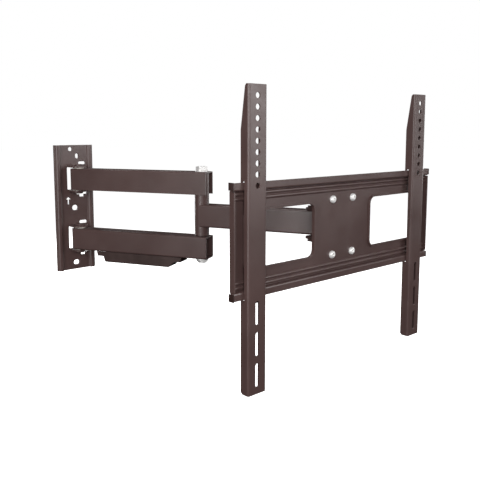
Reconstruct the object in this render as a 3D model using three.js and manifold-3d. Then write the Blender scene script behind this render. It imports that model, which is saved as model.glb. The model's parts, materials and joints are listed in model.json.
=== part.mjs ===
// Full motion wall mount for a flat television.
// Millimetres, +Z up, +X to the right, the television faces -Y.
// The origin lies on the back face of the wall plate, on its vertical centre line.

import * as THREE from "three";
import { mergeVertices } from "three/addons/utils/BufferGeometryUtils.js";
import Module from "manifold-3d";

const wasm = await Module();
wasm.setup();

// ---------------------------------------------------------------- driving dimensions

const GAP = 0.3; // left between pieces that touch
const BITE = 1; // how far joined solids of one piece reach into each other
const FAR = 400; // half length of a cutter that passes right through
const WELD = 1e-4; // points closer than this are one point

// Sides of a full circle, by the size of what is turned.
const SIDES = { hex: 12, small: 16, shaft: 20, bore: 24, collar: 40 };
const CURVE = { corner: 2, slot: 3, link: 4 }; // segments of a drawn curve
const BEND_STEPS = { rail: 2, wallPlate: 3, channel: 4 }; // segments of a bend in sheet

const ARM_MID_Z = 20; // mid height of the arms and of the wall plate above the origin
const ARM_PITCH = 120; // upper arm to lower arm, middle to middle
const BAR = { height: 42, wall: 2.5, corner: 3.2, bend: 2.2 }; // section of every arm

const WALL_PLATE = { width: 83, height: 254, thick: 3, bend: 2.2 };
const WALL_RIB = { width: 13, rise: 4.5, slope: 3, flange: 2 };
const EAR = { thick: 3, reach: 12, halfWidth: 15, corner: 9, windowCorner: 2 };
const ARROW = { x: -13.6, tipZ: 22.9, length: 15.5, head: 5.5, shaftHalf: 1.8 };
const TEE = { width: 23, height: 6, stemHalf: 5, stemTop: -1, stemFoot: -8, corner: 2 };

// Plain openings and T slots in the wall plate, from its middle.
const WALL_SLOTS = [
  { x: -7, z: 119, width: 8.4, height: 8.4 },
  { x: 7, z: 105, width: 7, height: 10 },
  { x: 17.5, z: 90.5, width: 15.5, height: 6 },
  { x: 0, z: 0, width: 12.5, height: 11 },
  { x: 17.2, z: -30.3, width: 17, height: 6.6 },
  { x: 0, z: -113, width: 12.6, height: 9.6 },
];
const WALL_TEES = [{ x: 15.5, z: 29.5 }, { x: 15, z: -90.8 }];

const WALL_PIVOT_Y = -23; // pivot axis in front of the wall
const WALL_PIN = { radius: 5, headRadius: 8, headHeight: 3.2, chamfer: 1.5 };
const WALL_WASHER = { radius: 11, thick: 1.2 };
const SLEEVE_WALL = 3.5; // tube round a wall pin inside an arm

const ARM = { length: 270, width: 34, tail: 10, nose: 15, corner: 6 }; // length: wall pivot to elbow
const TROUGH = {
  near: -48, far: -233, width: 30, wall: 2, floor: 1.8,
  shallow: 9, deep: 20, lip: 2, nearStep: 15, nearFloor: 19, farStep: 14, farFloor: 27,
};

const FOREARM = { length: 227.7, width: 28, ventRadius: 3, ventBack: 40 }; // elbow to swivel axis
const POST_RADIUS = 13.5;
const COLLAR_RADIUS = 15;
const ELBOW_WASHER = { radius: 12, thick: 1.6 };
const BUSH_THICK = 1.2;
const SPACER_WALL = 3;

// Metric fasteners: shank radius, across flats, head and nut height, shank beyond the nut face.
const M12 = { radius: 6, flats: 19, head: 7.5, nut: 6, beyond: 7 };
const M8 = { radius: 4, flats: 13, head: 5.3, nut: 7, beyond: 9 };
const M6 = { radius: 3, flats: 10, head: 4, nut: 7, beyond: 9 };
const M5 = { radius: 2.5, flats: 8, head: 3.5, nut: 4.8 };
const HEX = { chamfer: 1, chamferRun: 1.6, collarShare: 0.28, collarInset: 1 };
const RUNNING = 0.6; // radial clearance of the bores that turn on the M12 bolts

const REST_WALL_ANGLE = 28.1; // degrees from straight out, towards +X
const REST_FOREARM_ANGLE = 25.2;

const YOKE = {
  halfWidth: 25.5, plate: 4, webY: -20, cheek: 3, earRise: 4, earBack: 14, earCorner: 6,
  flange: 2.5, flangeBack: 6, lobe: 9, lobeFoot: 6, rootRise: 9, rootDrop: 4,
};
const SWIVEL_WASHER = { radius: 14, thick: 1 };
const TILT_PIVOT_Y = -30; // in front of the swivel axis
const TILT_LOCK_DROP = 17; // lock bolt below the tilt pivot
const TILT_RANGE = { down: 15, up: 5 }; // degrees
const TILT_SLOT = { clearance: 0.2, slackAngle: 1 };
const CHEEK_GAP = 0.5; // between a yoke cheek and the tilt bracket's cheek outside it
const TILT_CHEEK_X = YOKE.halfWidth + CHEEK_GAP;
const TILT_BRACKET = {
  halfWidth: 36, halfHeight: 56, corner: 6, thick: 3, cheek: 3,
  lobe: 10, lobeFoot: 10.5, rootBack: 2, rootRise: 9.5, rootDrop: 10,
};

const TV_PLATE = {
  width: 484, height: 168, thick: 2.5, backY: -15, bend: 1.3,
  lipStep: 7, lipHeight: 10.3, lipSlope: 1.5,
};
const BEAD = { offsets: [67.4, 60.4], rise: 2.2, footHalf: 2.5, crestHalf: 0.8 };
const END_WALL_GAP = 1; // between an end wall and the lips
const WINDOW = { inner: 71.3, outer: 217.5, halfHeight: 42.5, corner: 11, rim: 6 };
const PLATE_BOLT = {
  x: 25.3, z: 45.5, headRadius: 6.6, headHeight: 4.4, rimHeight: 0.8, crown: 0.35,
  domeSteps: 3, socketFlats: 5, socketDepth: 2.4, shank: 17, nut: 7.5,
};
const RAIL_CAP = { thick: 1.7, proud: 0.6, plugLength: 6, plugInset: 1.5, plugDepth: 4 };

const BRACKET = {
  length: 446.5, width: 35.8, depth: 16.4, thick: 2.2, bend: 2.4, spacing: 400, drop: 2.8,
  frontY: -34, // in front of the tilt pivot
  shift: -5.7, // where the pair hangs along the rails, from the middle of the plate
  footCorner: 3, shoulder: 63, topFlange: 7.5, topCorner: 5, topEdge: 3,
};
const HOOK = { notchDepth: 8.6, thick: 3, height: 9, railGap: 1.5 };
const TV_HOLES = { count: 9, diameter: 8.6, pitch: 15.7, fromTop: 15.5 };
const TV_SLOTS = { count: 3, width: 7.4, height: 36, pitch: 46.5, fromFoot: 28.5 };
const LOCK = { fromBack: 6, belowRail: 6.5 };

// ---------------------------------------------------------------- materials

const material = (color, roughness, metalness) =>
  new THREE.MeshStandardMaterial({ color, roughness, metalness });

const PAINT = material(0x554844, 0.48, 0.35);
const ZINC = material(0xd8d8d4, 0.3, 0.9);
const BLACK_PLASTIC = material(0x262120, 0.6, 0);
const NYLON = material(0xdad6ca, 0.55, 0);

// ---------------------------------------------------------------- solids

function toSolid(geometry) {
  const bare = geometry.index ? geometry.toNonIndexed() : geometry.clone();
  bare.deleteAttribute("normal");
  bare.deleteAttribute("uv");
  const merged = mergeVertices(bare, WELD);
  return new wasm.Manifold(new wasm.Mesh({
    numProp: 3,
    vertProperties: new Float32Array(merged.attributes.position.array),
    triVerts: new Uint32Array(merged.index.array),
  }));
}

function toGeometry(solid) {
  const mesh = solid.getMesh();
  const geometry = new THREE.BufferGeometry();
  geometry.setAttribute("position", new THREE.BufferAttribute(mesh.vertProperties, 3));
  geometry.setIndex(new THREE.BufferAttribute(mesh.triVerts, 1));
  geometry.computeVertexNormals();
  return geometry;
}

const join = (solids) => solids.reduce((whole, piece) => whole.add(piece));
const cut = (solid, cutters) => cutters.reduce((rest, cutter) => rest.subtract(cutter), solid);

function extrude(shape, depth, curveSegments = CURVE.corner) {
  return new THREE.ExtrudeGeometry(shape, { depth, bevelEnabled: false, curveSegments });
}

// A shape drawn in X and Y, extruded upwards from bottom.
function upright(shape, bottom, height, curveSegments) {
  return toSolid(extrude(shape, height, curveSegments).translate(0, 0, bottom));
}

// A shape drawn in X and Z, extruded from back towards -Y.
function facing(shape, backY, depth, curveSegments) {
  return toSolid(extrude(shape, depth, curveSegments).rotateX(Math.PI / 2).translate(0, backY, 0));
}

// A shape drawn in Y and Z, extruded from left towards +X.
function sideways(shape, left, width, curveSegments) {
  const axes = new THREE.Matrix4().makeBasis(
    new THREE.Vector3(0, 1, 0),
    new THREE.Vector3(0, 0, 1),
    new THREE.Vector3(1, 0, 0),
  );
  return toSolid(extrude(shape, width, curveSegments).applyMatrix4(axes).translate(left, 0, 0));
}

// A box between two corners, given as pairs along X, Y and Z in either order.
function box(x, y, z) {
  const [width, depth, height] = [x, y, z].map(([a, b]) => Math.abs(b - a));
  const middle = [x, y, z].map(([a, b]) => (a + b) / 2);
  return toSolid(new THREE.BoxGeometry(width, depth, height).translate(...middle));
}

// A solid of revolution about Z from [radius, z] points that start and end on the axis.
function turned(points, sides = SIDES.shaft) {
  const profile = points.map(([radius, z]) => new THREE.Vector2(radius, z));
  return toSolid(new THREE.LatheGeometry(profile, sides).rotateX(Math.PI / 2));
}

function rod(radius, z0, z1, sides) {
  return turned([[0, z0], [radius, z0], [radius, z1], [0, z1]], sides);
}

// A cutter along Z for a round hole that passes right through.
const bore = (radius, sides = SIDES.bore) => rod(radius, -FAR, FAR, sides);

// A flat ring that stands on z = 0.
function ring(outer, inner, height) {
  return rod(outer, 0, height, SIDES.small).subtract(bore(inner, SIDES.small));
}

const lay = {
  alongX: (solid) => solid.rotate([0, 90, 0]),
  alongY: (solid) => solid.rotate([-90, 0, 0]),
};

// ---------------------------------------------------------------- outlines

function polygon(points) {
  return new THREE.Shape(points.map(([x, y]) => new THREE.Vector2(x, y)));
}

function roundedRect(x0, x1, y0, y1, radius) {
  const shape = new THREE.Shape();
  shape.moveTo(x0 + radius, y0);
  shape.lineTo(x1 - radius, y0);
  shape.absarc(x1 - radius, y0 + radius, radius, -Math.PI / 2, 0);
  shape.lineTo(x1, y1 - radius);
  shape.absarc(x1 - radius, y1 - radius, radius, 0, Math.PI / 2);
  shape.lineTo(x0 + radius, y1);
  shape.absarc(x0 + radius, y1 - radius, radius, Math.PI / 2, Math.PI);
  shape.lineTo(x0, y0 + radius);
  shape.absarc(x0 + radius, y0 + radius, radius, Math.PI, 1.5 * Math.PI);
  return shape;
}

// A rounded rectangle about the origin.
const centredRect = (halfWidth, halfHeight, radius) =>
  roundedRect(-halfWidth, halfWidth, -halfHeight, halfHeight, radius);

// A slot or round hole. Its ends keep a hair of straight edge so that no two points coincide.
function slot({ x, z, width, height }) {
  const straight = 0.01;
  const radius = Math.min(width, height) / 2 - straight;
  return roundedRect(x - width / 2, x + width / 2, z - height / 2, z + height / 2, radius);
}

function hexagon(acrossFlats) {
  const radius = acrossFlats / Math.sqrt(3);
  const corners = Array.from({ length: 6 }, (_, i) => i * Math.PI / 3);
  return polygon(corners.map((a) => [radius * Math.cos(a), radius * Math.sin(a)]));
}

// The outline of bent sheet of one thickness along a centre line, with round bends.
function bentSheet(points, thick, bendRadius, steps = BEND_STEPS.channel) {
  const line = points.map(([x, y]) => new THREE.Vector2(x, y));
  const left = [];
  const right = [];
  const put = (point, normal) => {
    left.push(point.clone().addScaledVector(normal, thick / 2));
    right.push(point.clone().addScaledVector(normal, -thick / 2));
  };
  const normalOf = (from, to) => {
    const along = to.clone().sub(from).normalize();
    return new THREE.Vector2(-along.y, along.x);
  };
  put(line[0], normalOf(line[0], line[1]));
  for (let i = 1; i < line.length - 1; i++) {
    const before = normalOf(line[i - 1], line[i]);
    const after = normalOf(line[i], line[i + 1]);
    const turn = Math.atan2(before.cross(after), before.dot(after));
    const side = Math.sign(turn);
    const bisector = before.clone().add(after).normalize();
    const centre = line[i].clone()
      .addScaledVector(bisector, side * bendRadius / Math.cos(turn / 2));
    for (let step = 0; step <= steps; step++) {
      const normal = before.clone().rotateAround(new THREE.Vector2(), turn * step / steps);
      put(centre.clone().addScaledVector(normal, -side * bendRadius), normal);
    }
  }
  const last = line.length - 1;
  put(line[last], normalOf(line[last - 1], line[last]));
  return new THREE.Shape([...left, ...right.reverse()]);
}

// A rounded link between two circles of different radii, drawn in Y and Z.
function linkOutline(y, z0, radius0, z1, radius1) {
  const lean = Math.asin((radius0 - radius1) / (z0 - z1));
  const shape = new THREE.Shape();
  shape.absarc(y, z0, radius0, -lean, Math.PI + lean);
  shape.absarc(y, z1, radius1, Math.PI + lean, 2 * Math.PI - lean);
  return shape;
}

// ---------------------------------------------------------------- scene graph helpers

function node(parent, name, solid, finish, position = [0, 0, 0]) {
  const mesh = new THREE.Mesh(toGeometry(solid), finish);
  mesh.name = name;
  mesh.position.set(...position);
  parent.add(mesh);
}

function frameAt(parent, position, angle = 0) {
  const group = new THREE.Group();
  group.position.set(...position);
  group.rotation.z = THREE.MathUtils.degToRad(angle);
  parent.add(group);
  return group;
}

// ---------------------------------------------------------------- fasteners

function hexHead(acrossFlats, z0, z1) {
  const radius = acrossFlats / Math.sqrt(3);
  const { chamfer, chamferRun } = HEX;
  const crown = turned([
    [0, z0], [radius, z0], [radius, z1 - chamfer], [radius - chamferRun, z1], [0, z1],
  ], SIDES.hex);
  return upright(hexagon(acrossFlats), z0, z1 - z0).intersect(crown);
}

// A bolt along Z with its hex head above seat, and a shank that goes down to tip.
const hexBolt = ({ radius, flats, head }, seat, tip) =>
  join([hexHead(flats, seat, seat + head), rod(radius, tip, seat + GAP, SIDES.small)]);

// A lock nut along Z whose flat face is at z and whose round collar points down.
function lockNut({ radius, flats, nut }, z) {
  const hexHeight = nut * (1 - HEX.collarShare);
  const body = hexHead(flats, 0, hexHeight);
  const collar = rod(flats / 2 - HEX.collarInset, hexHeight - GAP, nut, SIDES.small);
  return body.add(collar).subtract(bore(radius + GAP, SIDES.small)).rotate([180, 0, 0])
    .translate([0, 0, z]);
}

// A bolt and its nut laid across a channel whose outer faces are half from the middle.
const crossBolt = (size, half) => lay.alongX(hexBolt(size, half, -half - size.beyond));
const crossNut = (size, half) => lay.alongX(lockNut(size, -half));

// ---------------------------------------------------------------- wall plate

const HALF_PITCH = ARM_PITCH / 2;
const HALF_BAR = BAR.height / 2;
const earInner = HALF_BAR + WALL_WASHER.thick + 2 * GAP; // middle of an arm to an ear
const earOuter = earInner + EAR.thick;

function wallPlateSheet() {
  const { width, height, thick, bend } = WALL_PLATE;
  const { width: ribWidth, rise, slope, flange } = WALL_RIB;
  const mid = -thick / 2;
  const half = width / 2;
  const rib = (side) => [
    [side * (half - ribWidth), mid],
    [side * (half - ribWidth + slope), mid - rise],
    [side * (half - flange - slope), mid - rise],
    [side * (half - flange), mid],
    [side * half, mid],
  ];
  const line = [...rib(-1).reverse(), ...rib(1)];
  return upright(bentSheet(line, thick, bend, BEND_STEPS.wallPlate), ARM_MID_Z - height / 2, height);
}

function arrowOutline({ x, tipZ, length, head, shaftHalf }) {
  const headZ = tipZ - head;
  const tailZ = tipZ - length;
  return polygon([
    [x, tipZ], [x + head, headZ], [x + shaftHalf, headZ], [x + shaftHalf, tailZ],
    [x - shaftHalf, tailZ], [x - shaftHalf, headZ], [x - head, headZ],
  ]);
}

function teeSlot({ x, z }) {
  const { width, height, stemHalf, stemTop, stemFoot, corner } = TEE;
  const stem = roundedRect(x - stemHalf, x + stemHalf, z + stemFoot, z + stemTop, corner);
  return [slot({ x, z, width, height }), stem];
}

function wallPlateHoles() {
  const outlines = [...WALL_SLOTS.map(slot), ...WALL_TEES.flatMap(teeSlot), arrowOutline(ARROW)];
  const depth = WALL_PLATE.thick + 2 * BITE;
  return outlines.map((outline) => facing(outline, BITE, depth).translate([0, 0, ARM_MID_Z]));
}

function earPlate(z0) {
  const { halfWidth, thick, reach, corner } = EAR;
  const plan = roundedRect(-halfWidth, halfWidth, WALL_PIVOT_Y - reach, -BITE, corner);
  return upright(plan, z0, thick);
}

function wallPlate() {
  const { halfWidth, thick, windowCorner } = EAR;
  let plate = wallPlateSheet();
  for (const mid of [ARM_MID_Z + HALF_PITCH, ARM_MID_Z - HALF_PITCH]) {
    const window = roundedRect(-halfWidth, halfWidth, mid - earInner, mid + earInner, windowCorner);
    plate = plate.subtract(facing(window, BITE, WALL_PLATE.thick + 2 * BITE));
    plate = join([plate, earPlate(mid + earInner), earPlate(mid - earInner - thick)]);
  }
  const pinBore = bore(WALL_PIN.radius + GAP).translate([0, WALL_PIVOT_Y, 0]);
  return cut(plate, [pinBore, ...wallPlateHoles()]);
}

// A pivot pin with a low round head at each end of its shank, outside the two ears.
function wallPin() {
  const { radius, headRadius, headHeight, chamfer } = WALL_PIN;
  const seat = earOuter + GAP;
  const top = seat + headHeight;
  const upperHalf = [
    [radius, seat], [headRadius, seat], [headRadius, top - chamfer],
    [headRadius - chamfer, top], [0, top],
  ];
  const lowerHalf = upperHalf.map(([r, z]) => [r, -z]).reverse();
  return turned([...lowerHalf, ...upperHalf], SIDES.small);
}

function addWallBody(root) {
  node(root, "wall_plate", wallPlate(), PAINT);
  const { radius, thick } = WALL_WASHER;
  const washer = ring(radius, WALL_PIN.radius + GAP, thick);
  for (const [label, side] of [["upper", 1], ["lower", -1]]) {
    const mid = ARM_MID_Z + side * HALF_PITCH;
    const onAxis = (z) => [0, WALL_PIVOT_Y, z];
    node(root, `${label}_wall_pin`, wallPin(), PAINT, onAxis(mid));
    node(root, `${label}_wall_washer_top`, washer, NYLON, onAxis(mid + HALF_BAR + GAP));
    node(root, `${label}_wall_washer_bottom`, washer, NYLON, onAxis(mid - HALF_BAR - GAP - thick));
  }
}

// ---------------------------------------------------------------- arm pair

const armFront = -ARM.length - ARM.nose;
const sleeveEnd = HALF_BAR - BAR.wall + BITE / 2; // tubes inside an arm bite into its walls

// The outline that rounds both ends of an arm in plan; the front corners are left square.
function armTrim() {
  const half = ARM.width / 2;
  const plan = roundedRect(-half, half, armFront - 2 * ARM.tail, ARM.tail, ARM.corner);
  return upright(plan, -BAR.height, 2 * BAR.height);
}

// A downward open channel in X and Z.
function channelSection() {
  const half = (ARM.width - BAR.wall) / 2;
  const top = HALF_BAR - BAR.wall / 2;
  const line = [[-half, -HALF_BAR], [-half, top], [half, top], [half, -HALF_BAR]];
  return bentSheet(line, BAR.wall, BAR.bend);
}

function tubeSection(width) {
  const outer = centredRect(width / 2, HALF_BAR, BAR.corner);
  const inner = centredRect(width / 2 - BAR.wall, HALF_BAR - BAR.wall, BAR.corner - BAR.wall / 2);
  outer.holes.push(inner);
  return outer;
}

const alongArm = (section, start, end) => facing(section, start, start - end);

function upperArm() {
  const walls = alongArm(channelSection(), ARM.tail, armFront);
  const sleeve = rod(WALL_PIN.radius + SLEEVE_WALL, -HALF_BAR, sleeveEnd);
  const boltBore = bore(M12.radius + GAP).translate([0, -ARM.length, 0]);
  return cut(walls.intersect(armTrim()).add(sleeve), [bore(WALL_PIN.radius + GAP), boltBore]);
}

function lowerArm() {
  const walls = alongArm(tubeSection(ARM.width), ARM.tail, armFront);
  const sleeve = rod(WALL_PIN.radius + SLEEVE_WALL, -sleeveEnd, sleeveEnd);
  const elbow = [0, -ARM.length, 0];
  const spacer = rod(M12.radius + SPACER_WALL, -sleeveEnd, sleeveEnd).translate(elbow);
  const boltBore = bore(M12.radius + GAP).translate(elbow);
  const whole = join([walls.intersect(armTrim()), sleeve, spacer]);
  return cut(whole, [bore(WALL_PIN.radius + GAP), boltBore]);
}

// The side of the trough in Y and Z, from its near rim round its deeper middle to its far rim.
function troughSide(top) {
  const { near, far, shallow, deep, lip, nearStep, nearFloor, farStep, farFloor } = TROUGH;
  return [
    [near, top], [near - lip, top - shallow], [near - nearStep, top - shallow],
    [near - nearFloor, top - deep], [far + farFloor, top - deep],
    [far + farStep, top - shallow], [far + lip, top - shallow], [far, top],
  ];
}

// An open trough for cables that hangs below the lower arm. Its top and both ends are open.
function cableTrough() {
  const { near, far, width, wall, floor, nearStep, nearFloor, farStep, farFloor } = TROUGH;
  const top = -HALF_BAR - GAP;
  const shallow = top - TROUGH.shallow + floor;
  const deep = top - TROUGH.deep + floor;
  const past = width; // how far the hollow runs out past the top and both ends
  const hollow = polygon([
    [near + past, top + past], [near + past, shallow], [near - nearStep - BITE, shallow],
    [near - nearFloor - BITE, deep], [far + farFloor + BITE, deep],
    [far + farStep + BITE, shallow], [far - past, shallow], [far - past, top + past],
  ]);
  const body = sideways(polygon(troughSide(top)), -width / 2, width);
  return body.subtract(sideways(hollow, wall - width / 2, width - 2 * wall));
}

function addArmPair(parent) {
  const [upperZ, lowerZ] = [HALF_PITCH, -HALF_PITCH];
  const elbow = (z) => [0, -ARM.length, z];
  node(parent, "upper_arm", upperArm(), PAINT, [0, 0, upperZ]);
  node(parent, "lower_arm", lowerArm(), PAINT, [0, 0, lowerZ]);
  node(parent, "cable_trough", cableTrough(), BLACK_PLASTIC, [0, 0, lowerZ]);

  const { radius, thick } = ELBOW_WASHER;
  const washer = ring(radius, M12.radius + GAP, thick);
  const washerTop = upperZ + HALF_BAR + GAP;
  const washerBottom = lowerZ - HALF_BAR - GAP - thick;
  node(parent, "elbow_washer_top", washer, ZINC, elbow(washerTop));
  node(parent, "elbow_washer_bottom", washer, ZINC, elbow(washerBottom));
  const headZ = washerTop + thick + GAP;
  const nutZ = washerBottom - GAP;
  node(parent, "elbow_bolt", hexBolt(M12, headZ, nutZ - M12.beyond), ZINC, elbow(0));
  node(parent, "elbow_nut", lockNut(M12, nutZ), ZINC, elbow(0));

  const bush = ring(POST_RADIUS - BITE / 2, M12.radius + GAP, BUSH_THICK);
  const underChannel = upperZ + HALF_BAR - BAR.wall - GAP - BUSH_THICK;
  node(parent, "elbow_bush_top", bush, BLACK_PLASTIC, elbow(underChannel));
  node(parent, "elbow_bush_bottom", bush, BLACK_PLASTIC, elbow(lowerZ + HALF_BAR + GAP));
}

// ---------------------------------------------------------------- forearm

// The bar with its collar at the swivel end and the tall post that turns on the elbow bolt.
function forearm() {
  const bushSpace = BUSH_THICK + 2 * GAP;
  const postTop = HALF_PITCH + HALF_BAR - BAR.wall - bushSpace;
  const postBottom = -HALF_PITCH + HALF_BAR + bushSpace;
  const collarAt = [0, -FOREARM.length, 0];
  const whole = join([
    alongArm(tubeSection(FOREARM.width), 0, -FOREARM.length),
    rod(POST_RADIUS, postBottom, postTop, SIDES.collar),
    rod(COLLAR_RADIUS, -HALF_BAR, HALF_BAR, SIDES.collar).translate(collarAt),
  ]);
  const turningBore = bore(M12.radius + RUNNING);
  const ventHole = rod(FOREARM.ventRadius, -BAR.height, 0, SIDES.small)
    .translate([0, FOREARM.ventBack - FOREARM.length, 0]);
  return cut(whole, [turningBore, turningBore.translate(collarAt), ventHole]);
}

// ---------------------------------------------------------------- swivel head

const yokeEarBottom = HALF_BAR + SWIVEL_WASHER.thick + 2 * GAP; // inner face of the yoke ears
const yokeEarTop = yokeEarBottom + YOKE.plate;
const yokeFront = YOKE.webY - YOKE.plate;
const cheekOuter = TILT_CHEEK_X + TILT_BRACKET.cheek + GAP; // seat of the tilt bolts

// The upper ear of the yoke, with a small flange turned up along each side.
function yokeEar() {
  const { halfWidth, plate, earRise, earBack, earCorner, flange, flangeBack } = YOKE;
  const plan = roundedRect(-halfWidth, halfWidth, yokeFront, earBack, earCorner);
  const ear = upright(plan, yokeEarBottom, plate);
  const flanges = [-1, 1].map((side) => box(
    [side * (halfWidth - flange), side * halfWidth],
    [yokeFront, flangeBack],
    [yokeEarTop - BITE / 2, yokeEarTop + earRise],
  ));
  return join([ear, ...flanges]);
}

function swivelYoke() {
  const { halfWidth, webY, cheek, lobe, lobeFoot, rootRise, rootDrop } = YOKE;
  const web = box([-halfWidth, halfWidth], [yokeFront, webY], [-yokeEarTop, yokeEarTop]);
  const link = linkOutline(TILT_PIVOT_Y, 0, lobe, -TILT_LOCK_DROP, lobeFoot);
  const cheeks = [-halfWidth, halfWidth - cheek].map((left) => {
    const root = box([left, left + cheek], [TILT_PIVOT_Y, yokeFront + BITE],
      [-TILT_LOCK_DROP - rootDrop, rootRise]);
    return sideways(link, left, cheek, CURVE.link).add(root);
  });
  const ear = yokeEar();
  const whole = join([web, ear, ear.mirror([0, 0, 1]), ...cheeks]);
  const tiltBore = (radius, drop) => lay.alongX(bore(radius + GAP, SIDES.shaft))
    .translate([0, TILT_PIVOT_Y, -drop]);
  const bores = [bore(M12.radius + GAP), tiltBore(M8.radius, 0), tiltBore(M6.radius, TILT_LOCK_DROP)];
  return cut(whole, bores);
}

function addSwivelHead(parent) {
  node(parent, "swivel_yoke", swivelYoke(), PAINT);
  const { radius, thick } = SWIVEL_WASHER;
  const washer = ring(radius, M12.radius + GAP, thick);
  node(parent, "swivel_washer_top", washer, NYLON, [0, 0, HALF_BAR + GAP]);
  node(parent, "swivel_washer_bottom", washer, NYLON, [0, 0, -HALF_BAR - GAP - thick]);
  const seat = yokeEarTop + GAP;
  node(parent, "swivel_bolt", hexBolt(M12, seat, -seat - M12.beyond), ZINC);
  node(parent, "swivel_nut", lockNut(M12, -seat), ZINC);

  const pivot = [0, TILT_PIVOT_Y, 0];
  const lock = [0, TILT_PIVOT_Y, -TILT_LOCK_DROP];
  node(parent, "tilt_pivot_bolt", crossBolt(M8, cheekOuter), ZINC, pivot);
  node(parent, "tilt_pivot_nut", crossNut(M8, cheekOuter), ZINC, pivot);
  node(parent, "tilt_lock_bolt", crossBolt(M6, cheekOuter), ZINC, lock);
  node(parent, "tilt_lock_nut", crossNut(M6, cheekOuter), ZINC, lock);
}

// ---------------------------------------------------------------- tilt bracket and TV plate

// Name, side along X and side along Z of what is repeated at the plate's four corners.
const corners = [
  ["upper_left", -1, 1], ["upper_right", 1, 1], ["lower_left", -1, -1], ["lower_right", 1, -1],
];

// A slot bent round the tilt pivot, drawn in Y and Z, for the lock bolt's travel.
function tiltSlotOutline() {
  const halfWidth = M6.radius + GAP + TILT_SLOT.clearance;
  const straightDown = -Math.PI / 2;
  const reach = (degrees) => THREE.MathUtils.degToRad(degrees + TILT_SLOT.slackAngle);
  const start = straightDown - reach(TILT_RANGE.down);
  const end = straightDown + reach(TILT_RANGE.up);
  const at = (angle) => [TILT_LOCK_DROP * Math.cos(angle), TILT_LOCK_DROP * Math.sin(angle)];
  const shape = new THREE.Shape();
  shape.absarc(0, 0, TILT_LOCK_DROP + halfWidth, start, end);
  shape.absarc(...at(end), halfWidth, end, end + Math.PI);
  shape.absarc(0, 0, TILT_LOCK_DROP - halfWidth, end, start, true);
  shape.absarc(...at(start), halfWidth, start + Math.PI, start + 2 * Math.PI);
  return shape;
}

function plateBoltBores() {
  const cutter = lay.alongY(bore(M8.radius + GAP, SIDES.shaft));
  return corners.map(([, sx, sz]) => cutter.translate([sx * PLATE_BOLT.x, 0, sz * PLATE_BOLT.z]));
}

// A plate behind the TV plate with two cheeks that stand outside the yoke's.
function tiltBracket() {
  const { halfWidth, halfHeight, corner, thick, cheek, lobe, lobeFoot } = TILT_BRACKET;
  const { rootBack, rootRise, rootDrop } = TILT_BRACKET;
  const front = TV_PLATE.backY + GAP;
  const base = facing(centredRect(halfWidth, halfHeight, corner), front + thick, thick);
  const link = linkOutline(0, 0, lobe, -TILT_LOCK_DROP, lobeFoot);
  const cheeks = [-TILT_CHEEK_X - cheek, TILT_CHEEK_X].map((left) => {
    const root = box([left, left + cheek], [front + BITE, rootBack],
      [-TILT_LOCK_DROP - rootDrop, rootRise]);
    return sideways(link, left, cheek, CURVE.link).add(root);
  });
  const pivotBore = lay.alongX(bore(M8.radius + GAP, SIDES.shaft));
  const lockSlot = sideways(tiltSlotOutline(), -halfWidth, 2 * halfWidth, CURVE.slot);
  return cut(join([base, ...cheeks]), [pivotBore, lockSlot, ...plateBoltBores()]);
}

// The rail section in Y and Z: a flat back with a lip that steps forward and up at the top,
// and forward and down at the bottom, with two shallow beads beside each lip.
function railSection() {
  const { height, thick, backY, bend, lipStep, lipHeight, lipSlope } = TV_PLATE;
  const { offsets, rise, footHalf, crestHalf } = BEAD;
  const back = backY - thick / 2;
  const lipFoot = height / 2 - lipHeight;
  const lip = [[back - lipStep, height / 2], [back - lipStep, lipFoot], [back, lipFoot - lipSlope]];
  const bead = (z) => [
    [back, z + footHalf], [back - rise, z + crestHalf],
    [back - rise, z - crestHalf], [back, z - footHalf],
  ];
  const upper = [...lip, ...offsets.flatMap(bead)];
  const lower = upper.map(([y, z]) => [y, -z]).reverse();
  return bentSheet([...upper, ...lower], thick, bend, BEND_STEPS.rail);
}

// The outline of the window on one side, drawn in by inset, or out when inset is negative.
function windowOutline(side, inset) {
  const ends = [side * (WINDOW.inner + inset), side * (WINDOW.outer - inset)];
  const half = WINDOW.halfHeight - inset;
  return roundedRect(Math.min(...ends), Math.max(...ends), -half, half, WINDOW.corner - inset);
}

// The depth of the front of the rail lips.
const lipFront = TV_PLATE.backY - TV_PLATE.thick - TV_PLATE.lipStep;

// A wall bent forward from one end of the plate, as deep as the lips.
function endWall(side) {
  const { width, height, thick, backY, lipHeight, lipSlope } = TV_PLATE;
  const half = height / 2 - lipHeight - lipSlope - END_WALL_GAP;
  const outer = side * width / 2;
  return box([outer - side * thick, outer], [lipFront, backY], [-half, half]);
}

// The flat panel with a rim bent forward round each of its two windows.
function tvPlate() {
  const { width, thick, backY } = TV_PLATE;
  let plate = sideways(railSection(), -width / 2, width);
  for (const side of [-1, 1]) {
    const rim = facing(windowOutline(side, -thick), backY, WINDOW.rim);
    plate = join([plate, rim, endWall(side)]);
    plate = plate.subtract(facing(windowOutline(side, 0), FAR, 2 * FAR));
  }
  return cut(plate, plateBoltBores());
}

// A domed head with a hex socket in front of the plate, and a shank through it.
function plateBolt() {
  const { headRadius, headHeight, rimHeight, crown, domeSteps } = PLATE_BOLT;
  const { socketFlats, socketDepth, shank } = PLATE_BOLT;
  const dome = Array.from({ length: domeSteps }, (_, i) => (i + 1) / domeSteps * Math.PI / 2)
    .map((angle) => [
      headRadius * (crown + (1 - crown) * Math.cos(angle)),
      rimHeight + (headHeight - rimHeight) * Math.sin(angle),
    ]);
  const head = turned([[0, 0], [headRadius, 0], ...dome, [0, headHeight]], SIDES.small);
  const socket = upright(hexagon(socketFlats), headHeight - socketDepth, headHeight);
  const stem = rod(M8.radius, -shank, GAP, SIDES.small);
  return head.subtract(socket).add(stem).rotate([90, 0, 0])
    .translate([0, TV_PLATE.backY - TV_PLATE.thick - GAP, 0]);
}

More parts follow.
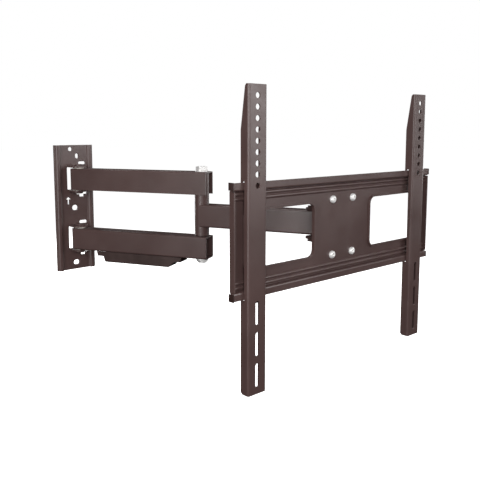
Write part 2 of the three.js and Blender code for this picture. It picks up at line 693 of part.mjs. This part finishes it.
function plateNut() {
  const seat = TV_PLATE.backY + TILT_BRACKET.thick + 2 * GAP;
  return lockNut({ ...M8, nut: PLATE_BOLT.nut }, 0).rotate([90, 0, 0]).translate([0, seat, 0]);
}

// A plastic cap on the right end of the upper rail, with a plug that sits behind the lip.
function railCap() {
  const { width, height, thick, backY, lipHeight } = TV_PLATE;
  const { proud, plugLength, plugInset, plugDepth } = RAIL_CAP;
  const [end, top] = [width / 2 + GAP, height / 2];
  const foot = top - lipHeight;
  const cover = box([end, end + RAIL_CAP.thick], [lipFront - proud, backY], [foot, top + proud]);
  const plugFront = lipFront + thick + GAP;
  const plug = box([end - plugLength, end + BITE], [plugFront, plugFront + plugDepth],
    [foot + plugInset, top - plugInset]);
  return join([cover, plug]);
}

function addTiltBody(parent) {
  node(parent, "tilt_bracket", tiltBracket(), PAINT);
  node(parent, "tv_plate", tvPlate(), PAINT);
  for (const [label, sx, sz] of corners) {
    const at = [sx * PLATE_BOLT.x, 0, sz * PLATE_BOLT.z];
    node(parent, `plate_bolt_${label}`, plateBolt(), ZINC, at);
    node(parent, `plate_nut_${label}`, plateNut(), ZINC, at);
    let cap = railCap();
    if (sx < 0) cap = cap.mirror([1, 0, 0]);
    if (sz < 0) cap = cap.mirror([0, 0, 1]);
    node(parent, `rail_cap_${label}`, cap, BLACK_PLASTIC);
  }
}

// ---------------------------------------------------------------- hook-on TV brackets

const railMid = BRACKET.length / 2 + BRACKET.drop; // middle of the TV plate above a bracket's foot
const railHalf = TV_PLATE.height / 2;

// Depth and height of the lock screw, just below the lower rail.
const lockAt = [BRACKET.depth - LOCK.fromBack, railMid - railHalf - LOCK.belowRail];

// The side outline of a bracket in depth (towards the wall) and height above its foot.
function bracketSide() {
  const { length, depth, footCorner, shoulder, topFlange, topCorner, topEdge } = BRACKET;
  const { notchDepth, thick, height, railGap } = HOOK;
  const top = railMid + railHalf + railGap;
  const bottom = railMid - railHalf - railGap;
  const hook = depth - thick;
  return polygon([
    [0, 0], [depth - footCorner, 0], [depth, footCorner], [depth, bottom], [notchDepth, bottom],
    [notchDepth, top], [hook, top], [hook, top - height], [depth, top - height],
    [depth, length - shoulder], [topFlange, length - topEdge], [topCorner, length], [0, length],
  ]);
}

function bracketHoles() {
  const { length, thick } = BRACKET;
  const row = (count, at) => Array.from({ length: count }, (_, i) => slot({ x: 0, ...at(i) }));
  const holes = row(TV_HOLES.count, (i) => ({
    z: length - TV_HOLES.fromTop - TV_HOLES.pitch * i,
    width: TV_HOLES.diameter,
    height: TV_HOLES.diameter,
  }));
  const slots = row(TV_SLOTS.count, (i) => ({
    z: TV_SLOTS.fromFoot + TV_SLOTS.pitch * i,
    width: TV_SLOTS.width,
    height: TV_SLOTS.height,
  }));
  return [...holes, ...slots].map((hole) => facing(hole, thick + BITE, thick + 2 * BITE));
}

function tvBracket() {
  const { length, width, depth, thick, bend } = BRACKET;
  const side = (width - thick) / 2;
  const face = thick / 2;
  const line = [[-side, depth], [-side, face], [side, face], [side, depth]];
  const channel = upright(bentSheet(line, thick, bend), 0, length);
  const profile = sideways(bracketSide(), -width, 2 * width);
  const lockBore = lay.alongX(bore(M5.radius + GAP, SIDES.shaft)).translate([0, ...lockAt]);
  return cut(channel.intersect(profile), [...bracketHoles(), lockBore]);
}

function addTvBracket(parent, label, side) {
  const { length, width, thick, spacing, drop, shift, frontY } = BRACKET;
  const at = [side * spacing / 2 + shift, frontY, -length / 2 - drop];
  const lock = [at[0], at[1] + lockAt[0], at[2] + lockAt[1]];
  const screw = lay.alongX(hexBolt(M5, width / 2 + GAP, -width / 2));
  const nut = lay.alongX(lockNut(M5, width / 2 - thick - GAP)).mirror([1, 0, 0]);
  node(parent, `${label}_bracket`, tvBracket(), PAINT, at);
  node(parent, `${label}_lock_screw`, screw, PAINT, lock);
  node(parent, `${label}_lock_nut`, nut, PAINT, lock);
}

// ---------------------------------------------------------------- assembly

const mount = new THREE.Group();
addWallBody(mount);

const armPair = frameAt(mount, [0, WALL_PIVOT_Y, ARM_MID_Z], REST_WALL_ANGLE);
addArmPair(armPair);

const foreArm = frameAt(armPair, [0, -ARM.length, 0], REST_FOREARM_ANGLE - REST_WALL_ANGLE);
node(foreArm, "forearm", forearm(), PAINT);

const head = frameAt(foreArm, [0, -FOREARM.length, 0], -REST_FOREARM_ANGLE);
addSwivelHead(head);

const tilt = frameAt(head, [0, TILT_PIVOT_Y, 0]);
addTiltBody(tilt);
addTvBracket(tilt, "left", -1);
addTvBracket(tilt, "right", 1);

export default mount;
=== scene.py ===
"""Looks of a full motion television wall mount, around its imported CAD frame.

Metres, +Z up, the television faces -Y. The CAD nodes keep their meshes: each gets fine rounded
edges from a modifier, and a procedural material.
"""
import json
import math

import bpy
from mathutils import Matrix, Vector


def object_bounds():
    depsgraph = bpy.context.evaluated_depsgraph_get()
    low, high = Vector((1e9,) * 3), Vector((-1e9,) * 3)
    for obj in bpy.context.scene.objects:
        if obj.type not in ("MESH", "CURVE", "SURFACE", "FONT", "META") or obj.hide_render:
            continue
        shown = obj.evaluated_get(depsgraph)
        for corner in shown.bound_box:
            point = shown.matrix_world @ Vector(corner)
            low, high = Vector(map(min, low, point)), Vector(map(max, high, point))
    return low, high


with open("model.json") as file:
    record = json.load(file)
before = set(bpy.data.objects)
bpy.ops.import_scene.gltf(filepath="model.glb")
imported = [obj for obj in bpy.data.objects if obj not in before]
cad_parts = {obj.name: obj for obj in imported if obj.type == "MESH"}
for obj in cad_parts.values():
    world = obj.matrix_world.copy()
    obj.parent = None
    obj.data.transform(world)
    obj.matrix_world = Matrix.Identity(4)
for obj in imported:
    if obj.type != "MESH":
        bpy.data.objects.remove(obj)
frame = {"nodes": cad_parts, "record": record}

CAD_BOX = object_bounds()
MM = 0.001

# ---------------------------------------------------------------- driving values

FOCAL = 615.11 / 480  # focal length over the width of the square image
SENSOR = 36.0  # width of the sensor, in the camera's own millimetres
YAW = math.radians(41.19)  # from straight at the wall, towards +X
PITCH = math.radians(6.68)  # downwards
EYE = Vector((-0.567, -1.162, 0.177))
SHIFT_Y = -0.079  # of the image's width
CLIP_END = 100.0

EDGE_RADIUS = {"painted_steel": 0.35 * MM, "zinc_steel": 0.25 * MM,
               "black_plastic": 0.4 * MM, "nylon": 0.15 * MM}
BEVEL_ANGLE = math.radians(28)  # edges sharper than this are rounded
BEVEL_SEGMENTS = 2

FLOOR_DROP = 0.16  # floor below the object's lowest point
FLOOR_SIZE = 30.0
FLOOR_GLOW = 1.0  # makes the floor as white as the backdrop
FLOOR_DARK = (0.90, 0.90, 0.90, 1.0)
FLOOR_LIGHT = (0.94, 0.94, 0.94, 1.0)
WHITE = (1.0, 1.0, 1.0, 1.0)
AMBIENT = 0.02  # backdrop strength for all but the camera, which sees it white

# Name, place from the object's middle, width and height, watts. The first three light the faces
# that the camera sees, the others the top, the back and the right side.
LIGHTS = (("left", (-1.95, -0.65, 0.25), (0.35, 1.6), 18),
          ("camera_side", (-1.3, -1.75, 0.6), (1.2, 1.2), 30),
          ("front", (1.05, -1.95, 0.5), (0.8, 1.1), 16),
          ("back_top", (0.0, 0.5, 1.8), (1.6, 1.0), 14),
          ("back", (0.0, 2.05, 0.45), (0.9, 1.4), 28),
          ("right", (2.05, -0.35, 0.4), (1.2, 1.2), 16))

# Colours of each finish: its darker and lighter base, and where it is worn.
PAINT_DARK = (0.070, 0.040, 0.037, 1.0)
PAINT_LIGHT = (0.110, 0.066, 0.061, 1.0)
PAINT_WORN = (0.200, 0.142, 0.130, 1.0)
ZINC_DARK = (0.82, 0.81, 0.80, 1.0)
ZINC_LIGHT = (0.93, 0.92, 0.91, 1.0)
ZINC_WORN = (0.96, 0.95, 0.94, 1.0)
PLASTIC_DARK = (0.030, 0.014, 0.012, 1.0)
PLASTIC_LIGHT = (0.050, 0.027, 0.024, 1.0)
PLASTIC_WORN = (0.070, 0.050, 0.046, 1.0)
NYLON_DARK = (0.62, 0.59, 0.51, 1.0)
NYLON_LIGHT = (0.76, 0.73, 0.66, 1.0)
NYLON_WORN = (0.84, 0.82, 0.77, 1.0)

# Least and most roughness of each finish.
PAINT_ROUGH = (0.30, 0.45)
ZINC_ROUGH = (0.42, 0.58)
PLASTIC_ROUGH = (0.42, 0.62)
NYLON_ROUGH = (0.36, 0.54)
FLOOR_ROUGH = (0.75, 0.9)

PAINT_SPECULAR = 0.62
FLOOR_SPECULAR = 0.1
ZINC_METALLIC = 0.5  # half, so that the heads look evenly pale

EDGE_SAMPLES = 6
EDGE_TURN = (0.80, 0.995)  # cosine of the turn of the normal, on a full edge and on a flat

# Sockets of a Mix node in its colour mode.
MIX_A, MIX_B, MIX_RESULT = 6, 7, 2


# ---------------------------------------------------------------- materials

class Nodes:
    """A short way to add and link shader nodes in one material."""

    def __init__(self, name):
        self.material = bpy.data.materials.new(name)
        self.material.use_nodes = True
        self.tree = self.material.node_tree
        self.shader = self.tree.nodes["Principled BSDF"]
        self.place = self.add("ShaderNodeTexCoord").outputs["Object"]

    def add(self, kind, **values):
        made = self.tree.nodes.new(kind)
        for key, value in values.items():
            setattr(made, key, value)
        return made

    def link(self, source, target):
        self.tree.links.new(source, target)

    def noise(self, scale, detail=4.0, rough=0.55, place=None):
        """Fractal noise over the object's own coordinates, or over another place."""
        made = self.add("ShaderNodeTexNoise")
        made.inputs["Scale"].default_value = scale
        made.inputs["Detail"].default_value = detail
        made.inputs["Roughness"].default_value = rough
        self.link(place or self.place, made.inputs["Vector"])
        return made.outputs["Fac"]

    def cells(self, scale):
        made = self.add("ShaderNodeTexVoronoi", feature="SMOOTH_F1")
        made.inputs["Scale"].default_value = scale
        self.link(self.place, made.inputs["Vector"])
        return made.outputs["Distance"]

    def stretched(self, stretch):
        """The object's own coordinates, scaled by a different amount along each axis."""
        made = self.add("ShaderNodeMapping")
        made.inputs["Scale"].default_value = stretch
        self.link(self.place, made.inputs["Vector"])
        return made.outputs["Vector"]

    def ramp(self, factor, low, high):
        """Stretches a factor so that low becomes 0 and high becomes 1."""
        made = self.add("ShaderNodeMapRange", clamp=True)
        made.inputs["From Min"].default_value = low
        made.inputs["From Max"].default_value = high
        self.link(factor, made.inputs["Value"])
        return made.outputs["Result"]

    def span(self, factor, low, high):
        """Turns a factor from 0 to 1 into a value from low to high."""
        made = self.add("ShaderNodeMapRange", clamp=True)
        made.inputs["To Min"].default_value = low
        made.inputs["To Max"].default_value = high
        self.link(factor, made.inputs["Value"])
        return made.outputs["Result"]

    def math(self, operation, a, b):
        made = self.add("ShaderNodeMath", operation=operation)
        for socket, value in zip(made.inputs, (a, b)):
            if isinstance(value, (int, float)):
                socket.default_value = value
            else:
                self.link(value, socket)
        return made.outputs[0]

    def mix(self, factor, a, b):
        made = self.add("ShaderNodeMix", data_type="RGBA")
        self.link(factor, made.inputs["Factor"])
        for socket, value in ((made.inputs[MIX_A], a), (made.inputs[MIX_B], b)):
            if isinstance(value, tuple):
                socket.default_value = value
            else:
                self.link(value, socket)
        return made.outputs[MIX_RESULT]

    def bump(self, height, strength, distance, below=None):
        made = self.add("ShaderNodeBump")
        made.inputs["Strength"].default_value = strength
        made.inputs["Distance"].default_value = distance
        self.link(height, made.inputs["Height"])
        if below is not None:
            self.link(below, made.inputs["Normal"])
        return made.outputs["Normal"]

    def edges(self, width):
        """1 on outer edges and 0 on flats, from how far the normal turns within width."""
        bevel = self.add("ShaderNodeBevel", samples=EDGE_SAMPLES)
        bevel.inputs["Radius"].default_value = width
        normal = self.add("ShaderNodeNewGeometry").outputs["Normal"]
        turn = self.add("ShaderNodeVectorMath", operation="DOT_PRODUCT")
        self.link(bevel.outputs["Normal"], turn.inputs[0])
        self.link(normal, turn.inputs[1])
        flat = self.ramp(turn.outputs["Value"], *EDGE_TURN)
        return self.math("SUBTRACT", 1.0, flat)

    def part(self, factor, share):
        """A share of a factor."""
        return self.math("MULTIPLY", factor, share)

    def blend(self, first, second, share):
        """A sum of two factors, with share of the first and the rest of the second."""
        return self.math("ADD", self.part(first, share), self.part(second, 1.0 - share))

    def finish(self, color, rough, normal, metallic=0.0, specular=0.5):
        self.link(color, self.shader.inputs["Base Color"])
        self.link(rough, self.shader.inputs["Roughness"])
        self.link(normal, self.shader.inputs["Normal"])
        self.shader.inputs["Metallic"].default_value = metallic
        self.shader.inputs["Specular IOR Level"].default_value = specular
        return self.material


def painted_steel():
    """Satin powder coat: orange-peel skin, a fine speckle, and thinner paint along edges."""
    n = Nodes("painted_steel")
    peel = n.cells(scale=950)
    grain = n.noise(scale=2600, detail=3.0)
    cloud = n.ramp(n.noise(scale=9, detail=3.0), low=0.34, high=0.66)
    speckle = n.ramp(n.noise(scale=1500, detail=2.0), low=0.38, high=0.70)
    base = n.mix(n.part(cloud, share=0.55), PAINT_DARK, PAINT_LIGHT)
    base = n.mix(n.part(speckle, share=0.22), base, PAINT_LIGHT)
    chips = n.ramp(n.noise(scale=160, detail=5.0, rough=0.7), low=0.46, high=0.62)
    worn = n.math("MULTIPLY", n.edges(width=0.55 * MM), n.part(chips, share=0.75))
    color = n.mix(worn, base, PAINT_WORN)
    smudge = n.ramp(n.noise(scale=26, detail=4.0, rough=0.6), low=0.35, high=0.68)
    rough = n.span(n.blend(smudge, grain, share=0.6), *PAINT_ROUGH)
    skin = n.bump(peel, strength=0.22, distance=0.12 * MM)
    normal = n.bump(grain, strength=0.10, distance=0.05 * MM, below=skin)
    return n.finish(color, rough, normal, specular=PAINT_SPECULAR)


def zinc_steel():
    """Dull zinc plate: faint turning lines and clouding, and brighter edges."""
    n = Nodes("zinc_steel")
    lines = n.noise(scale=900, detail=3.0, rough=0.6, place=n.stretched((1.0, 1.0, 0.08)))
    cloud = n.ramp(n.noise(scale=120), low=0.36, high=0.66)
    base = n.mix(cloud, ZINC_DARK, ZINC_LIGHT)
    color = n.mix(n.part(n.edges(width=0.4 * MM), share=0.7), base, ZINC_WORN)
    rough = n.span(n.blend(lines, cloud, share=0.5), *ZINC_ROUGH)
    normal = n.bump(lines, strength=0.06, distance=0.02 * MM)
    return n.finish(color, rough, normal, metallic=ZINC_METALLIC)


def black_plastic():
    """Moulded plastic with a fine leathery grain and lighter rubbed edges."""
    n = Nodes("black_plastic")
    grain = n.cells(scale=1300)
    cloud = n.ramp(n.noise(scale=30), low=0.35, high=0.66)
    base = n.mix(cloud, PLASTIC_DARK, PLASTIC_LIGHT)
    patches = n.ramp(n.noise(scale=220), low=0.40, high=0.62)
    rubbed = n.math("MULTIPLY", n.edges(width=0.5 * MM), patches)
    color = n.mix(rubbed, base, PLASTIC_WORN)
    rough = n.span(n.blend(cloud, grain, share=0.5), *PLASTIC_ROUGH)
    return n.finish(color, rough, n.bump(grain, strength=0.28, distance=0.10 * MM))


def nylon():
    """Natural nylon: milky, a little cloudy, with faint machining marks."""
    n = Nodes("nylon")
    cloud = n.ramp(n.noise(scale=90), low=0.35, high=0.65)
    marks = n.noise(scale=700, detail=3.0, rough=0.6, place=n.stretched((1.0, 1.0, 0.1)))
    base = n.mix(cloud, NYLON_DARK, NYLON_LIGHT)
    color = n.mix(n.part(n.edges(width=0.3 * MM), share=0.6), base, NYLON_WORN)
    rough = n.span(n.blend(cloud, marks, share=0.4), *NYLON_ROUGH)
    return n.finish(color, rough, n.bump(marks, strength=0.12, distance=0.04 * MM))


# ---------------------------------------------------------------- dressing the CAD nodes

def round_edges(obj, radius):
    """Fine rounded edges, made by a modifier so that the mesh stays as it is."""
    bevel = obj.modifiers.new("edge_radius", "BEVEL")
    bevel.width = radius
    bevel.segments = BEVEL_SEGMENTS
    bevel.limit_method = "ANGLE"
    bevel.angle_limit = BEVEL_ANGLE
    bevel.use_clamp_overlap = True
    bevel.harden_normals = True


def dress(obj, material):
    obj.data.materials.clear()
    obj.data.materials.append(material)


def dress_nodes():
    makers = {"painted_steel": painted_steel, "zinc_steel": zinc_steel,
              "black_plastic": black_plastic, "nylon": nylon}
    materials = {slot: make() for slot, make in makers.items()}
    for entry in frame["record"]["subparts"]:
        obj = frame["nodes"][entry["node"]]
        slot = entry["material_slot"]
        dress(obj, materials[slot])
        round_edges(obj, EDGE_RADIUS[slot])


# ---------------------------------------------------------------- stage, light and camera

def floor_material():
    n = Nodes("studio_white")
    tint = n.mix(n.noise(scale=2.0, detail=2.0), FLOOR_DARK, FLOOR_LIGHT)
    rough = n.span(n.noise(scale=40, detail=3.0), *FLOOR_ROUGH)
    normal = n.bump(n.noise(scale=500, detail=2.0), strength=0.03, distance=0.05 * MM)
    n.shader.inputs["Emission Color"].default_value = WHITE
    n.shader.inputs["Emission Strength"].default_value = FLOOR_GLOW
    return n.finish(tint, rough, normal, specular=FLOOR_SPECULAR)


def add_floor():
    """A white floor that neither lights the object nor shows in its gloss."""
    low = Vector(CAD_BOX[0])
    half = FLOOR_SIZE / 2
    z = low.z - FLOOR_DROP
    corners = [(-half, -half, z), (half, -half, z), (half, half, z), (-half, half, z)]
    mesh = bpy.data.meshes.new("studio_floor")
    mesh.from_pydata(corners, [], [(0, 1, 2, 3)])
    floor = bpy.data.objects.new("studio_floor", mesh)
    bpy.context.scene.collection.objects.link(floor)
    dress(floor, floor_material())
    floor.visible_diffuse = False
    floor.visible_glossy = False


def look_along(obj, direction):
    obj.rotation_euler = direction.to_track_quat("-Z", "Y").to_euler()


def area_light(name, place, aim, size, watts):
    data = bpy.data.lights.new(name, "AREA")
    data.shape = "RECTANGLE"
    data.size, data.size_y = size
    data.energy = watts
    light = bpy.data.objects.new(name, data)
    light.location = place
    look_along(light, Vector(aim) - Vector(place))
    bpy.context.scene.collection.objects.link(light)


def add_light():
    middle = (Vector(CAD_BOX[0]) + Vector(CAD_BOX[1])) / 2
    for name, place, size, watts in LIGHTS:
        area_light(name, middle + Vector(place), middle, size, watts)


def add_studio():
    """A backdrop that the camera sees white, and that gives the object almost no light."""
    world = bpy.data.worlds.new("studio")
    world.use_nodes = True
    tree = world.node_tree
    background = tree.nodes["Background"]
    background.inputs["Color"].default_value = WHITE
    strength = tree.nodes.new("ShaderNodeMapRange")
    strength.inputs["To Min"].default_value = AMBIENT
    strength.inputs["To Max"].default_value = 1.0
    seen = tree.nodes.new("ShaderNodeLightPath").outputs["Is Camera Ray"]
    tree.links.new(seen, strength.inputs["Value"])
    tree.links.new(strength.outputs["Result"], background.inputs["Strength"])
    bpy.context.scene.world = world
    bpy.context.scene.view_settings.view_transform = "Standard"


def add_camera():
    data = bpy.data.cameras.new("camera")
    data.sensor_width = SENSOR
    data.lens = SENSOR * FOCAL
    data.shift_y = SHIFT_Y
    data.clip_end = CLIP_END
    camera = bpy.data.objects.new("camera", data)
    camera.location = EYE
    level = math.cos(PITCH)
    look_along(camera, Vector((math.sin(YAW) * level, math.cos(YAW) * level, -math.sin(PITCH))))
    bpy.context.scene.collection.objects.link(camera)
    bpy.context.scene.camera = camera


dress_nodes()
add_floor()
add_light()
add_studio()
add_camera()
